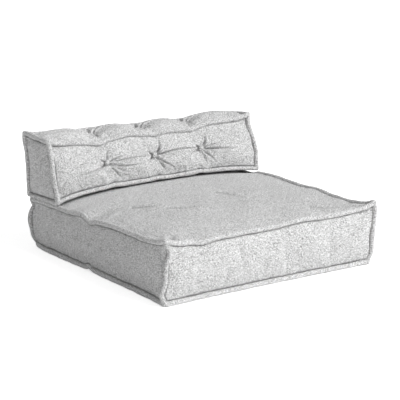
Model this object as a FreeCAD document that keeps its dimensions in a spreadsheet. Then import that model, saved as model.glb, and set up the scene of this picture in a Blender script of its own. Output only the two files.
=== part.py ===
import FreeCAD, Part
import math
import os
import re

from FreeCAD import Placement, Rotation, Vector

# Modular floor sofa unit: a square seat cushion with a loose tufted back cushion lying along its rear edge.
# Millimetres and degrees. The origin is the middle of the underside, +Z is up, the sitter faces -Y.

SIZES = [
    ("seat_width", "980", "between the seams of the two sides"),
    ("seat_depth", "980", "between the seams of front and rear"),
    ("seat_front_height", "232", "floor to the top seam at the front corners"),
    ("seat_rear_height", "204", "floor to the top seam at the rear, where the back cushion presses"),
    ("seat_crown", "46", "rise of the top above its front and rear seams"),
    ("seat_side_bulge", "13", "belly of the front and the sides"),
    ("seat_edge_sag", "8", "dip of the top seams between the corners"),
    ("seat_edge_draw", "9", "how far the seams are drawn in between the corners"),
    ("back_overhang", "5", "end seams of the back cushion, beyond the side seams of the seat"),
    ("back_setback", "14", "rear seams of the back cushion, behind the rear seams of the seat"),
    ("back_height", "230", "between the bottom and top seams at the ends"),
    ("back_bottom_depth", "228", "front seam to rear seam along the bottom"),
    ("back_top_depth", "182", "front seam to rear seam along the top"),
    ("back_top_sag", "15", "dip of the top seams between the ends"),
    ("back_front_arch", "22", "rise of the front bottom seam over the crown of the seat"),
    ("back_rear_arch", "6", "rise of the rear bottom seam between the ends"),
    ("back_edge_draw", "6", "how far the front seams are drawn in between the ends"),
    ("back_end_bulge", "5", "belly of the two ends"),
    ("tuft_pitch", "230", "from tuft to tuft"),
    ("tuft_depth", "12", "floor of a tuft, below the plane of the seams"),
    ("pillow_rise", "13", "belly of the pillows between the crease and the seams"),
    ("pillow_ridge", "7", "crease half way between two tufts, above the plane of the seams"),
    ("back_rear_belly", "6", "belly of the rear of the back cushion"),
    ("back_bottom_belly", "3", "belly of the underside of the back cushion"),
    ("button_diameter", "22", "covered button"),
    ("button_dome", "4", "covered button, from its rim to its crown"),
    ("anchor_diameter", "16", "flat disc that holds a twine at its far end"),
    ("anchor_thickness", "2.5", "flat disc that holds a twine at its far end"),
    ("tie_diameter", "2.4", "tufting twine"),
    ("tie_spacing", "5", "between the two twines that pass each other in a tuft column"),
    ("tie_clearance", "0.5", "round a twine where it passes through a cover or the filling"),
    ("roll_diameter", "20", "rolled edge"),
    ("cover_thickness", "3", "woven cover with its lining"),
    ("wadding_thickness", "10", "fibre wrap round the foam at its thinnest"),
    ("seam_gap", "0.3", "between neighbouring pieces"),
    ("roll_end_gap", "0.8", "between the end of one rolled edge and the next"),
    ("fill_gap", "0.8", "between the covers and the filling of the back cushion"),
    ("rest_gap", "0.4", "between the back cushion and the seat it rests on"),
    ("zip_slot", "14", "opening between the two rear covers"),
    ("back_zip_height", "50", "zip of the back cushion above its bottom seam"),
    ("zip_tape_width", "34", "both tapes together"),
    ("zip_tape_thickness", "1", "woven tape"),
    ("zip_coil_radius", "2.8", "half-round bead of the closed coil"),
    ("zip_end", "48", "end of the coil before the end seam"),
    ("zip_clearance", "0.4", "slider round the coil and above the tape"),
    ("slider_length", "16", "along the zip"),
    ("slider_width", "11", "across the zip"),
    ("slider_plate", "1.7", "plate over the coil"),
    ("bridge_length", "10", "arch that carries the pull"),
    ("bridge_width", "3", "across the zip"),
    ("bridge_wall", "1.7", "foot and crown of the arch"),
    ("bridge_opening", "2.6", "free height under the arch"),
    ("pull_length", "36", "from the hinge bar to the tip"),
    ("pull_width", "8.4", "across the tab"),
    ("pull_thickness", "1.4", "tab and hinge bar"),
    ("pull_window", "7", "opening of the tab that clears the arch"),
    ("pull_window_width", "4.6", "across the tab"),
    ("pull_hole", "4", "finger hole near the tip"),
]

doc = FreeCAD.newDocument("sofa_unit")
sheet = doc.addObject("Spreadsheet::Sheet", "Sizes")
for row, (name, text, note) in enumerate(SIZES, start=1):
    sheet.set(f"A{row}", note)
    sheet.set(f"B{row}", text)
    sheet.setAlias(f"B{row}", name)
doc.recompute()

nodes = []


def size(name):
    return float(sheet.get(name))


def keep(part):
    """Put a finished piece on the list of what is handed over."""
    nodes.append(part)
    return part


def piece(name, shape, frame=None):
    """A finished piece from a free form, placed in its cushion's frame."""
    part = doc.addObject("Part::Feature", name)
    part.Shape = shape
    if frame is not None:
        part.Placement = frame
    return keep(part)


def block(name, length, width, height, corner, frame=None):
    """A box whose three sizes follow the sheet, set down by its lowest corner in a frame."""
    box = doc.addObject("Part::Box", name)
    box.setExpression("Length", length)
    box.setExpression("Width", width)
    box.setExpression("Height", height)
    place = Placement(corner, Rotation())
    box.Placement = frame.multiply(place) if frame is not None else place
    return box


def rod(name, radius, height, base, direction, frame=None):
    """A round bar whose sizes follow the sheet, from a base point along a direction."""
    bar = doc.addObject("Part::Cylinder", name)
    bar.setExpression("Radius", radius)
    bar.setExpression("Height", height)
    place = Placement(base, Rotation(Vector(0, 0, 1), direction))
    bar.Placement = frame.multiply(place) if frame is not None else place
    return bar


def cut(name, base, tool):
    result = doc.addObject("Part::Cut", name)
    result.Base = base
    result.Tool = tool
    return result


class Seam:
    """A sewn edge: a shallow curve between two corners, drawn in at its middle."""

    def __init__(self, start, end, draw=Vector(0, 0, 0)):
        self.start = start
        self.end = end
        self.draw = draw

    def at(self, share):
        """The point at a share of the way: -1 at the start, 0 in the middle, 1 at the end."""
        middle = (self.start + self.end) * 0.5
        return middle + (self.end - self.start) * (share / 2) + self.draw * (1 - share ** 2)

    def stretched(self, reach):
        """The same curve carried on past both ends, or cut short by a negative reach."""
        share = 1 + 2 * reach / (self.end - self.start).Length
        start = self.at(-share)
        end = self.at(share)
        return Seam(start, end, self.at(0) - (start + end) * 0.5)

    def edge(self):
        return bowed_line(self.start, self.end, self.draw)


def bowed_line(start, end, rise):
    """An arc between two points whose middle stands off the straight line by the rise."""
    if rise.Length < 0.01:
        return Part.LineSegment(start, end).toShape()
    return Part.Arc(start, (start + end) * 0.5 + rise, end).toShape()


def straight(start, end):
    return Part.LineSegment(start, end).toShape()


def bowed_chain(points, rises, outward):
    spans = zip(points, points[1:], rises)
    return [bowed_line(start, end, outward * rise) for start, end, rise in spans]


def sheet_section(points, rises, outward, thickness):
    """Closed outline of a cover: its outer bows and the same bows one thickness further in."""
    inner = [point - outward * thickness for point in points]
    edges = bowed_chain(points, rises, outward)
    edges.append(straight(points[-1], inner[-1]))
    edges += bowed_chain(inner[::-1], rises[::-1], outward)
    edges.append(straight(inner[0], points[0]))
    return Part.Wire(edges)


def pad_section(points, rises, outward, level):
    """Closed outline of a wadding: bowed outside, flat at a level along the outward direction."""
    inner = [point - outward * (point.dot(outward) - level) for point in points]
    edges = bowed_chain(points, rises, outward)
    edges.append(straight(points[-1], inner[-1]))
    edges.append(straight(inner[-1], inner[0]))
    edges.append(straight(inner[0], points[0]))
    return Part.Wire(edges)


def cover(profile, stations, outward):
    """A cover panel lofted through its stations."""
    sections = [sheet_section(*profile(share), outward, thickness) for share in stations]
    return Part.makeLoft(sections, True)


def wadding(profile, stations, outward, level):
    """A layer of fibre under a cover, flat where it lies on the foam."""
    inset = outward * (thickness + gap)
    sections = []
    for share in stations:
        points, rises = profile(share)
        sections.append(pad_section([point - inset for point in points], rises, outward, level))
    return Part.makeLoft(sections, True)


def tube(seam):
    """A rolled edge along a seam."""
    edge = seam.edge()
    start = edge.FirstParameter
    ring = Part.makeCircle(roll_radius, edge.valueAt(start), edge.tangentAt(start))
    return Part.Wire([edge]).makePipeShell([Part.Wire([ring])], True, False)


def even_stations(count, end):
    return [-end + 2 * end * step / (count - 1) for step in range(count)]


def box_seams(corner, draws):
    """The twelve seams of a cushion: round its bottom, round its top and up its corners."""
    ends = {}
    for level in ("bottom", "top"):
        for end in ("front", "rear"):
            ends[f"{level}_{end}"] = (corner(level, end, "left"), corner(level, end, "right"))
        for side in ("left", "right"):
            ends[f"{level}_{side}"] = (corner(level, "front", side), corner(level, "rear", side))
    for end in ("front", "rear"):
        for side in ("left", "right"):
            ends[f"{end}_{side}"] = (corner("bottom", end, side), corner("top", end, side))
    return {name: Seam(*pair, draws.get(name, STRAIGHT)) for name, pair in ends.items()}


def short_roll_stop(seams):
    """How far the shorter rolls end before a corner, so that two of them clear each other at the sharpest one."""
    ways = {name: (seam.at(1) - seam.at(-1)).normalize() for name, seam in seams.items()}
    slants = []
    for side in ("left", "right"):
        for end in ("front", "rear"):
            for level in ("bottom", "top"):
                slants.append(abs(ways[f"{end}_{side}"].dot(ways[f"{level}_{side}"])))
    sharpest = max(slants)
    return roll_radius * math.sqrt((1 + sharpest) / (1 - sharpest)) + size("roll_end_gap")


def make_rolls(cushion, seams, frame=None):
    """Rolled edges along the seams: the long ones close the corners, the others stop against them."""
    stop = short_roll_stop(seams)
    for name, seam in seams.items():
        runs_through = name.endswith(("_front", "_rear"))
        reach = roll_radius if runs_through else -stop
        piece(f"{cushion}_{name}_roll", tube(seam.stretched(reach)), frame)


def from_sheet(formula):
    """A formula over the named sizes, with each name pointed at the sheet."""
    return re.sub(r"[a-z_]+", r"Sizes.\g<0>", formula)


# Sizes that several pieces share

thickness = size("cover_thickness")
gap = size("seam_gap")
roll_radius = size("roll_diameter") / 2
margin = roll_radius + gap
half_slot = size("zip_slot") / 2
half_width = size("seat_width") / 2
half_depth = size("seat_depth") / 2
front_height = size("seat_front_height")
rear_height = size("seat_rear_height")
floor_seam = roll_radius + gap

FORWARD = Vector(0, -1, 0)
BACKWARD = Vector(0, 1, 0)
LEFT = Vector(-1, 0, 0)
RIGHT = Vector(1, 0, 0)
UP = Vector(0, 0, 1)
DOWN = Vector(0, 0, -1)
STRAIGHT = Vector(0, 0, 0)
SIGN = {"left": -1, "right": 1, "front": -1, "rear": 1}


# Seams of the seat cushion: the rear ones are straight, the others are drawn in between the corners

draw = size("seat_edge_draw")
sag = size("seat_edge_sag")


def seat_corner(level, end, side):
    top = front_height if end == "front" else rear_height
    height = top if level == "top" else floor_seam
    return Vector(SIGN[side] * half_width, SIGN[end] * half_depth, height)


seat_seams = box_seams(seat_corner, {
    "bottom_front": Vector(0, draw, 0),
    "bottom_left": Vector(draw, 0, 0),
    "bottom_right": Vector(-draw, 0, 0),
    "top_front": Vector(0, draw, -sag),
    "top_left": Vector(draw, 0, -sag),
    "top_right": Vector(-draw, 0, -sag),
})


def seat_plan(inset):
    """Face on the floor with the plan of the seams, set in from them."""
    corners = []
    for side, end in ((-1, -1), (1, -1), (1, 1), (-1, 1)):
        corners.append(Vector(side * (half_width - inset), end * (half_depth - inset), 0))
    draws = [Vector(0, draw, 0), Vector(-draw, 0, 0), STRAIGHT, Vector(draw, 0, 0)]
    edges = [bowed_line(corners[i], corners[(i + 1) % 4], draws[i]) for i in range(4)]
    return Part.Face(Part.Wire(edges))


def border_profile(low_seam, high_seam, belly):
    """Profile of a side of the seat: one belly from seam to seam, flat at the corners."""
    def profile(share):
        low = low_seam.at(share)
        high = high_seam.at(share)
        step = (high - low).normalize() * margin
        return [low + step, high - step], [belly * (1 - share ** 4)]
    return profile


def seat_top_profile(share):
    """Crowned top: it sags with the side seams at the ends and stands highest in the middle."""
    crown = size("seat_crown")
    rise = -sag + (crown + sag) * (1 - share ** 2)
    return [seat_seams["top_front"].at(share), seat_seams["top_rear"].at(share)], [rise]


# Covers of the seat cushion

side_end = 1 - margin / half_depth
front_end = 1 - margin / half_width
side_stations = even_stations(7, side_end)
front_stations = even_stations(7, front_end)
whole_stations = even_stations(7, 1)
belly = size("seat_side_bulge")
front_profile = border_profile(seat_seams["bottom_front"], seat_seams["top_front"], belly)
left_profile = border_profile(seat_seams["bottom_left"], seat_seams["top_left"], belly)
right_profile = border_profile(seat_seams["bottom_right"], seat_seams["top_right"], belly)

tallest = front_height + size("seat_crown")
within_seams = seat_plan(margin + gap).extrude(UP * 2 * tallest)
piece("seat_top_panel", cover(seat_top_profile, whole_stations, UP).common(within_seams))
piece("seat_bottom_panel", seat_plan(margin).extrude(UP * thickness))
piece("seat_front_panel", cover(front_profile, front_stations, FORWARD))
piece("seat_left_panel", cover(left_profile, side_stations, LEFT))
piece("seat_right_panel", cover(right_profile, side_stations, RIGHT))

seat_zip_height = (floor_seam + rear_height) / 2


def seat_rear_profile(zip_edge, seam, toward):
    """Profile of half of the rear: from the edge of the zip to a seam."""
    def profile(share):
        start = Vector(share * half_width, half_depth, zip_edge)
        end = seam.at(share) - UP * toward * margin
        return [start, end], [belly / 2 * (1 - share ** 4)]
    return profile


rear_upper = seat_rear_profile(seat_zip_height + half_slot, seat_seams["top_rear"], 1)
rear_lower = seat_rear_profile(seat_zip_height - half_slot, seat_seams["bottom_rear"], -1)
piece("seat_rear_upper_panel", cover(rear_upper, front_stations, BACKWARD))
piece("seat_rear_lower_panel", cover(rear_lower, front_stations, BACKWARD))


# Filling of the seat cushion: a foam slab in a wrap of fibre

FOAM_INSET = "(seat_edge_draw + cover_thickness + wadding_thickness + 2 * seam_gap)"
FOAM_HEIGHT = "seat_rear_height - seat_edge_sag - 2 * cover_thickness - 2 * seam_gap - wadding_thickness"

foam_inset = draw + thickness + size("wadding_thickness") + 2 * gap
foam_half_width = half_width - foam_inset
foam_half_depth = half_depth - foam_inset
foam_floor = thickness + gap
foam_top = rear_height - sag - thickness - gap - size("wadding_thickness")
keep(block(
    "seat_foam_core",
    from_sheet(f"seat_width - 2 * {FOAM_INSET}"),
    from_sheet(f"seat_depth - 2 * {FOAM_INSET}"),
    from_sheet(FOAM_HEIGHT),
    Vector(-foam_half_width, -foam_half_depth, foam_floor),
))

front_fill = even_stations(7, foam_half_width / half_width)
top_fill = wadding(seat_top_profile, whole_stations, UP, foam_top + gap)
over_foam = Part.makeBox(
    2 * foam_half_width, 2 * foam_half_depth, 2 * tallest, Vector(-foam_half_width, -foam_half_depth, 0)
)
piece("seat_top_wadding", top_fill.common(over_foam))
piece("seat_front_wadding", wadding(front_profile, front_fill, FORWARD, foam_half_depth + gap))
piece("seat_left_wadding", wadding(left_profile, side_stations, LEFT, foam_half_width + gap))
piece("seat_right_wadding", wadding(right_profile, side_stations, RIGHT, foam_half_width + gap))
keep(block(
    "seat_rear_wadding",
    from_sheet(f"seat_width - 2 * {FOAM_INSET}"),
    from_sheet("seat_edge_draw + wadding_thickness - zip_tape_thickness - seam_gap"),
    from_sheet("seat_rear_height - 3 * roll_diameter / 2 - 3 * seam_gap"),
    Vector(-foam_half_width, foam_half_depth + gap, floor_seam + margin),
))


make_rolls("seat", seat_seams)


# Zips: a tape under the covers, a closed coil, a slider on the coil and a pull on the slider's bridge


def make_zip(cushion, width, half_zip, frame):
    """A zip in a frame with x along it, y out of the cushion and y = 0 on the face of the tape."""
    tape = block(
        f"{cushion}_zip_tape",
        from_sheet(f"{width} - roll_diameter - 4 * seam_gap"),
        from_sheet("zip_tape_thickness"),
        from_sheet("zip_tape_width"),
        Vector(-half_zip + margin + gap, -size("zip_tape_thickness"), -size("zip_tape_width") / 2),
        frame,
    )
    keep(tape)
    coil_start = Vector(-half_zip + size("zip_end"), gap, 0)
    coil = doc.addObject("Part::Cylinder", f"{cushion}_zip_coil")
    coil.setExpression("Radius", from_sheet("zip_coil_radius"))
    coil.setExpression("Height", from_sheet(f"{width} - 2 * zip_end"))
    coil.Angle = 180
    lying = Rotation(Vector(0, 0, -1), Vector(0, 1, 0), Vector(1, 0, 0), "ZXY")
    coil.Placement = frame.multiply(Placement(coil_start, lying))
    keep(coil)
    middle = half_zip - size("zip_end") - size("slider_length") / 2
    make_slider(f"{cushion}_zip_slider", frame.multiply(Placement(Vector(middle, 0, 0), Rotation())))
    make_pull(f"{cushion}_zip_pull", frame.multiply(Placement(Vector(middle, 0, 0), Rotation())))


def make_slider(name, frame):
    """Slider: a channel over the coil with an arched bridge on its plate."""
    clearance = size("zip_clearance")
    length = size("slider_length")
    inside = size("zip_coil_radius") + clearance
    ceiling = gap + size("zip_coil_radius") + clearance
    plate_top = ceiling + size("slider_plate")
    body = block(
        f"{name}_block",
        from_sheet("slider_length"),
        from_sheet("seam_gap + zip_coil_radius + slider_plate"),
        from_sheet("slider_width"),
        Vector(-length / 2, clearance, -size("slider_width") / 2),
        frame,
    )
    channel = block(
        f"{name}_channel",
        from_sheet("2 * slider_length"),
        from_sheet("seam_gap + zip_coil_radius"),
        from_sheet("2 * ( zip_coil_radius + zip_clearance )"),
        Vector(-length, clearance, -inside),
        frame,
    )
    arch = block(
        f"{name}_arch",
        from_sheet("bridge_length"),
        from_sheet("bridge_opening + bridge_wall + slider_plate / 2"),
        from_sheet("bridge_width"),
        Vector(-size("bridge_length") / 2, plate_top - size("slider_plate") / 2, -size("bridge_width") / 2),
        frame,
    )
    opening = block(
        f"{name}_opening",
        from_sheet("bridge_length - 2 * bridge_wall"),
        from_sheet("bridge_opening"),
        from_sheet("2 * bridge_width"),
        Vector(-size("bridge_length") / 2 + size("bridge_wall"), plate_top, -size("bridge_width")),
        frame,
    )
    slider = doc.addObject("Part::MultiFuse", name)
    slider.Shapes = [
        cut(f"{name}_channelled", body, channel),
        cut(f"{name}_bridge", arch, opening),
    ]
    keep(slider)


def make_pull(name, frame):
    """Pull: a flat tab whose end bar lies under the bridge, folded back along the closed coil."""
    hinge = pull_hinge_height()
    thick = size("pull_thickness")
    length = size("pull_length")
    tab = block(
        f"{name}_tab",
        from_sheet("pull_length"),
        from_sheet("pull_thickness"),
        from_sheet("pull_width"),
        Vector(thick / 2 - length, hinge - thick / 2, -size("pull_width") / 2),
        frame,
    )
    window = block(
        f"{name}_window",
        from_sheet("pull_window"),
        from_sheet("3 * pull_thickness"),
        from_sheet("pull_window_width"),
        Vector(-thick / 2 - size("pull_window"), hinge - 3 * thick / 2, -size("pull_window_width") / 2),
        frame,
    )
    hole = rod(
        f"{name}_hole",
        from_sheet("pull_hole / 2"),
        from_sheet("3 * pull_thickness"),
        Vector(thick / 2 - length + size("pull_hole") + thick, hinge - 3 * thick / 2, 0),
        BACKWARD,
        frame,
    )
    keep(cut(name, cut(f"{name}_frame", tab, window), hole))


def pull_hinge_height():
    """Height of the hinge bar above the tape: half way up the opening of the bridge."""
    plate_top = gap + size("zip_coil_radius") + size("zip_clearance") + size("slider_plate")
    return plate_top + size("bridge_opening") / 2


seat_zip_frame = Placement(Vector(0, half_depth - thickness - gap, seat_zip_height), Rotation())
make_zip("seat", "seat_width", half_width, seat_zip_frame)


# Back cushion: built in a frame of its own, with y = 0 on the rear seams and z = 0 on the bottom corners

back_half = half_width + size("back_overhang")
back_height = size("back_height")
bottom_depth = size("back_bottom_depth")
top_depth = size("back_top_depth")
top_sag = size("back_top_sag")
front_arch = size("back_front_arch")
back_draw = size("back_edge_draw")


def back_corner(level, end, side):
    depth = bottom_depth if level == "bottom" else top_depth
    height = back_height if level == "top" else 0
    return Vector(SIGN[side] * back_half, -depth if end == "front" else 0, height)


back_seams = box_seams(back_corner, {
    "bottom_front": Vector(0, back_draw, front_arch),
    "bottom_rear": Vector(0, 0, size("back_rear_arch")),
    "top_front": Vector(0, back_draw, -top_sag),
    "top_rear": Vector(0, 0, -top_sag),
})


# The back cushion leans on the seat: its rear roll on the seat's rear roll, its front roll on the crown


def seat_top_height(y):
    """Height of the seat's top along its middle line."""
    points, rises = seat_top_profile(0)
    front, rear = points
    share = 2 * (y - front.y) / (rear.y - front.y) - 1
    return front.z + (rear.z - front.z) * (share + 1) / 2 + rises[0] * (1 - share ** 2)


rest = size("rest_gap")
back_rear = half_depth + size("back_setback")
rear_seam_height = rear_height + 2 * roll_radius + rest
front_seam_height = seat_top_height(back_rear - bottom_depth + back_draw) + roll_radius + rest
lean = math.degrees(math.asin((front_seam_height - front_arch - rear_seam_height) / bottom_depth))
back_frame = Placement(Vector(0, back_rear, rear_seam_height), Rotation(Vector(1, 0, 0), -lean))


# Pillows and tufts: stations along the cushion. Each has its share of the half width, how far its crease is
# up from the floor of a tuft (0 to 1) and how full the cushion is there (nearly flat at its ends)

tuft_columns = [-size("tuft_pitch"), 0, size("tuft_pitch")]
BETWEEN_TUFTS = (0.55, 1, 0.55)
TOWARDS_END = (0.55, 1, 0.8)
END_FULLNESS = 0.05


def quarter_points(start, end, levels):
    """Three places that share a stretch into quarters, with the level of the crease at each."""
    step = (end - start) / 4
    return [(start + step * number, level, 1) for number, level in enumerate(levels, start=1)]


def back_stations():
    pitch = size("tuft_pitch")
    end = back_half - margin
    right = [(0, 0, 1)]
    right += quarter_points(0, pitch, BETWEEN_TUFTS)
    right.append((pitch, 0, 1))
    right += quarter_points(pitch, end, TOWARDS_END)
    right.append((end, 1, END_FULLNESS))
    left = [(-place, level, fullness) for place, level, fullness in reversed(right[1:])]
    return [(place / back_half, level, fullness) for place, level, fullness in left + right]


def tufted_profile(low_seam, high_seam, outward, inset):
    """Profile of a tufted face: two pillows with a crease between them."""
    depth = size("tuft_depth")
    rise = size("pillow_rise")
    ridge = size("pillow_ridge")

    def profile(station):
        share, level, fullness = station
        low = low_seam.at(share)
        high = high_seam.at(share)
        step = (high - low).normalize() * inset
        crease = fullness * (-depth + (ridge + depth) * level)
        return [low + step, (low + high) * 0.5 + outward * crease, high - step], [fullness * rise] * 2
    return profile


def plain_profile(low_seam, high_seam, inset, belly):
    """Profile of a face without tufts, held in a little where the twines end."""
    def profile(station):
        share, level, fullness = station
        low = low_seam.at(share)
        high = high_seam.at(share)
        step = (high - low).normalize() * inset
        return [low + step, high - step], [held_belly(belly, level, fullness)]
    return profile


def held_belly(belly, level, fullness):
    return belly * fullness * (0.5 + level / 2)


def back_rear_profile(inset, half_opening):
    """Profile of the rear: a flat strip under the zip, the zip's opening, and a belly above it."""
    def profile(station):
        share, level, fullness = station
        low = back_seams["bottom_rear"].at(share)
        high = back_seams["top_rear"].at(share)
        zip_line = Vector(low.x, 0, size("back_zip_height"))
        zip_low = zip_line - UP * half_opening
        zip_high = zip_line + UP * half_opening
        points = [low + UP * inset, zip_low, zip_high, high - UP * inset]
        return points, [0, 0, held_belly(size("back_rear_belly"), level, fullness)]
    return profile


def part_of(profile, first, last):
    """The stretch of a profile between two of its points."""
    def stretch(station):
        points, rises = profile(station)
        return points[first:last + 1], rises[first:last]
    return stretch


def back_faces(inset, half_opening):
    """Profiles and outward directions of the four long faces."""
    seams = back_seams
    low_front = seams["bottom_front"]
    low_rear = seams["bottom_rear"]
    high_front = seams["top_front"]
    high_rear = seams["top_rear"]
    return {
        "front": (tufted_profile(low_front, high_front, FORWARD, inset), FORWARD),
        "top": (tufted_profile(high_front, high_rear, UP, inset), UP),
        "rear": (back_rear_profile(inset, half_opening), BACKWARD),
        "bottom": (plain_profile(low_front, low_rear, inset, size("back_bottom_belly")), DOWN),
    }


stations = back_stations()
faces = back_faces(margin, half_slot)


def tuft_floor(face, column):
    """Outer surface of a tufted cover at the bottom of a tuft."""
    points, rises = faces[face][0]((column / back_half, 0, 1))
    return points[1]


def on_belly(face, column, share):
    """Outer surface of a plain cover at a share of the way across its last belly."""
    profile, outward = faces[face]
    points, rises = profile((column / back_half, 0, 1))
    start, end = points[-2:]
    return start + (end - start) * share + outward * rises[-1] * 4 * share * (1 - share)


def rear_anchor(column):
    """Place on the rear cover level with the front tufts."""
    points, rises = faces["rear"][0]((column / back_half, 0, 1))
    start, end = points[-2:]
    level = tuft_floor("front", column).z
    return on_belly("rear", column, (level - start.z) / (end.z - start.z))


def bottom_anchor(column):
    """Place in the middle of the underside."""
    return on_belly("bottom", column, 0.5)


# Twines: one set from front to rear and one from top to bottom, passing beside each other


def twines(name, near_face, far_end, shift):
    """Twines of one direction, and the wider holes that let them through."""
    parts = []
    holes = []
    hole_radius = size("tie_diameter") / 2 + size("tie_clearance")
    beyond = 2 * size("tuft_depth")
    offset = Vector(shift * size("tie_spacing") / 2, 0, 0)
    for number, column in enumerate(tuft_columns, start=1):
        start = tuft_floor(near_face, column) + offset
        end = far_end(column) + offset
        along = end - start
        strand = doc.addObject("Part::Cylinder", f"{name}_{number}")
        strand.setExpression("Radius", from_sheet("tie_diameter / 2"))
        strand.Height = along.Length
        strand.Placement = back_frame.multiply(Placement(start, Rotation(UP, along)))
        parts.append(strand)
        outside = start - Vector(along).normalize() * beyond
        holes.append(Part.makeCylinder(hole_radius, along.Length + 2 * beyond, outside, along))
    group = doc.addObject("Part::Compound", name)
    group.Links = parts
    keep(group)
    return holes


tie_holes = twines("back_front_ties", "front", rear_anchor, -1)
tie_holes += twines("back_top_ties", "top", bottom_anchor, 1)


def anchors(name, face, place):
    """Flat discs on the far side of the cushion, one at the end of each twine, square to the cover's slope."""
    profile, outward = faces[face]
    discs = []
    for number, column in enumerate(tuft_columns, start=1):
        points, rises = profile((column / back_half, 0, 1))
        chord = points[-1] - points[-2]
        square = (outward - chord * (outward.dot(chord) / chord.dot(chord))).normalize()
        foot = place(column) + square * gap
        radius = from_sheet("anchor_diameter / 2")
        height = from_sheet("anchor_thickness")
        discs.append(rod(f"{name}_{number}", radius, height, foot, square, back_frame))
    group = doc.addObject("Part::Compound", name)
    group.Links = discs
    keep(group)


anchors("back_rear_anchors", "rear", rear_anchor)
anchors("back_bottom_anchors", "bottom", bottom_anchor)


# Covers and filling of the back cushion

for name in ("front", "top", "bottom"):
    profile, outward = faces[name]
    piece(f"back_{name}_panel", cover(profile, stations, outward).cut(tie_holes), back_frame)

rear_profile = faces["rear"][0]
lower_strip = cover(part_of(rear_profile, 0, 1), stations, BACKWARD)
upper_belly = cover(part_of(rear_profile, 2, 3), stations, BACKWARD)
piece("back_rear_lower_panel", lower_strip, back_frame)
piece("back_rear_upper_panel", upper_belly.cut(tie_holes), back_frame)


def end_profile(side):
    """Profile of an end: a soft belly between the front and rear seams."""
    front_seam = back_seams["front_left" if side < 0 else "front_right"]
    rear_seam = back_seams["rear_left" if side < 0 else "rear_right"]
    swell = size("back_end_bulge")

    def profile(share):
        low = front_seam.at(share)
        high = rear_seam.at(share)
        return [low + BACKWARD * margin, high - BACKWARD * margin], [0.5 + swell * (1 - share ** 2)]
    return profile


end_stations = even_stations(5, 1 - 2 * margin / back_height)
piece("back_left_panel", cover(end_profile(-1), end_stations, LEFT), back_frame)
piece("back_right_panel", cover(end_profile(1), end_stations, RIGHT), back_frame)


def core_section(station):
    """Outline of the filling: the four faces set in by the covers, with their corners cut off."""
    under_cover = thickness + size("fill_gap")
    under_tape = thickness + gap + size("zip_tape_thickness") + size("fill_gap")
    edges = []
    corners = []
    for name, turned in (("bottom", False), ("rear", False), ("top", True), ("front", True)):
        profile, outward = core_faces[name]
        points, rises = profile(station)
        inset = under_tape if name == "rear" else under_cover
        points = [point - outward * inset for point in points]
        if turned:
            points.reverse()
            rises = rises[::-1]
        corners.append((points[0], points[-1]))
        edges.append(bowed_chain(points, rises, outward))
    outline = []
    for number, chain in enumerate(edges):
        outline += chain
        outline.append(straight(corners[number][1], corners[(number + 1) % 4][0]))
    return Part.Wire(outline)


core_faces = back_faces(margin + thickness, size("zip_tape_width") / 2 + gap)
core = Part.makeLoft([core_section(station) for station in stations], True)
piece("back_fibre_core", core.cut(tie_holes), back_frame)


make_rolls("back", back_seams, back_frame)


# Covered buttons, one in each tuft


def pillow_slope(face):
    """Steepest climb of the pillows away from the floor of a tuft."""
    profile, outward = faces[face]
    points, rises = profile((0, 0, 1))
    low, floor, high = points
    climbs = []
    for edge, rise in zip((low, high), rises):
        chord = edge - floor
        up = chord.dot(outward)
        climbs.append((up + 4 * rise) / math.sqrt(chord.Length ** 2 - up ** 2))
    return max(climbs)


def button(slope):
    """A domed button with a cone under its rim, its foot at the origin and its crown along +Z."""
    radius = size("button_diameter") / 2
    rise = size("button_dome")
    foot = size("tie_diameter") / 2
    cone = slope * (radius - foot)
    dome = (radius ** 2 + rise ** 2) / (2 * rise)
    half_turn = math.asin(radius / dome) / 2
    middle = Vector(0, 0, 0)
    foot_edge = Vector(foot, 0, 0)
    rim = Vector(radius, 0, cone)
    top = Vector(0, 0, cone + rise)
    shoulder = Vector(dome * math.sin(half_turn), 0, top.z - dome * (1 - math.cos(half_turn)))
    edges = [
        straight(middle, foot_edge),
        straight(foot_edge, rim),
        Part.Arc(rim, shoulder, top).toShape(),
        straight(top, middle),
    ]
    return Part.Face(Part.Wire(edges)).revolve(middle, UP, 360)


for name in ("front", "top"):
    outward = faces[name][1]
    slope = pillow_slope(name)
    lift = outward * (slope * size("tie_diameter") / 2 + 3 * gap)
    buttons = []
    for column in tuft_columns:
        single = button(slope)
        single.Placement = Placement(tuft_floor(name, column) + lift, Rotation(UP, outward))
        buttons.append(single)
    piece(f"back_{name}_buttons", Part.makeCompound(buttons), back_frame)

back_zip_line = Vector(0, -thickness - gap, size("back_zip_height"))
back_zip_frame = back_frame.multiply(Placement(back_zip_line, Rotation()))
make_zip("back", "(seat_width + 2 * back_overhang)", back_half, back_zip_frame)


# Check and hand over every piece

doc.recompute()
os.makedirs("parts", exist_ok=True)
for part in doc.Objects:
    if "Invalid" in part.State or "Error" in part.State:
        raise RuntimeError(f"{part.Label} did not build: {part.State}")
for part in nodes:
    if part.Shape.isNull() or not part.Shape.isValid():
        raise RuntimeError(f"{part.Label} has no valid shape")
    part.Shape.exportStep(f"parts/{part.Label}.step")
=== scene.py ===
import math
from itertools import product

import bpy
import numpy as np
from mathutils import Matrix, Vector, noise


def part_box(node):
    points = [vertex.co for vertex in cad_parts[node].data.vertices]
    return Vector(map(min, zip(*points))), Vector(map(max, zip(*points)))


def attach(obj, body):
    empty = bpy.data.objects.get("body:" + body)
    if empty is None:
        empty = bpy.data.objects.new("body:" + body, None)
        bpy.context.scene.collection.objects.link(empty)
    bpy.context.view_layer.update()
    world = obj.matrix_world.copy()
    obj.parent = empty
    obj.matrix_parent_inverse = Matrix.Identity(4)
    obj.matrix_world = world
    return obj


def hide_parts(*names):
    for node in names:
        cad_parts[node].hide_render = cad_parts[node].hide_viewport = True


# Modular floor sofa unit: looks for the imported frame. Metres, +Z up, the sitter faces -Y.

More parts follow.
